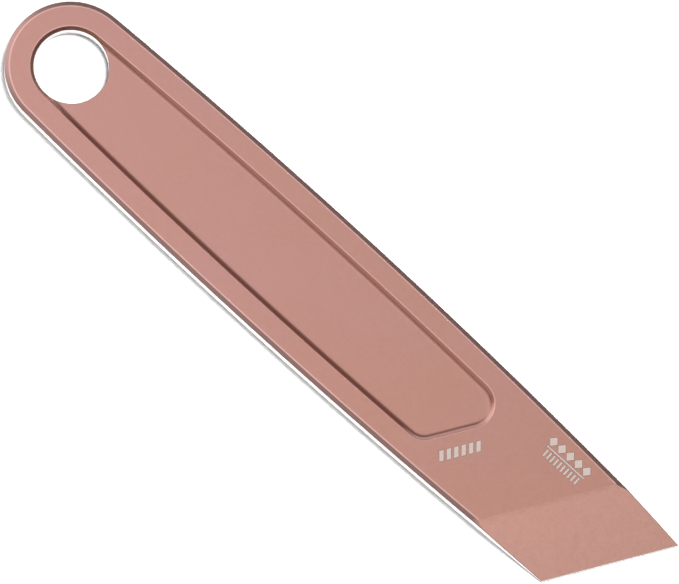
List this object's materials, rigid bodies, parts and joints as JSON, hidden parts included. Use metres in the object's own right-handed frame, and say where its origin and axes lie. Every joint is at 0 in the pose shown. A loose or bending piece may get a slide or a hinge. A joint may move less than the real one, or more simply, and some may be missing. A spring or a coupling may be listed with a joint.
{
  "type": "painters multi tool",
  "caption": "Flat one-piece steel painting scraper with a round end, a hanging hole, a shallow finger pocket and a skewed single-bevel chisel edge.",
  "frame": {"origin": "centre of the bounding box in X and Y, on the plane of the flat back", "axes": "+X along the tool from the hanging hole to the cutting edge, +Y across it towards the long point of the blade, +Z out of the face that holds the pocket and the bevel"},
  "size_m": [0.178, 0.0312, 0.004],
  "materials": {
    "satin_copper": "steel plate with a satin, bead-blasted rose copper coating; side walls bare and bright"
  },
  "bodies": {
    "root": {"tool_body": "satin_copper"}
  },
  "joints": []
}
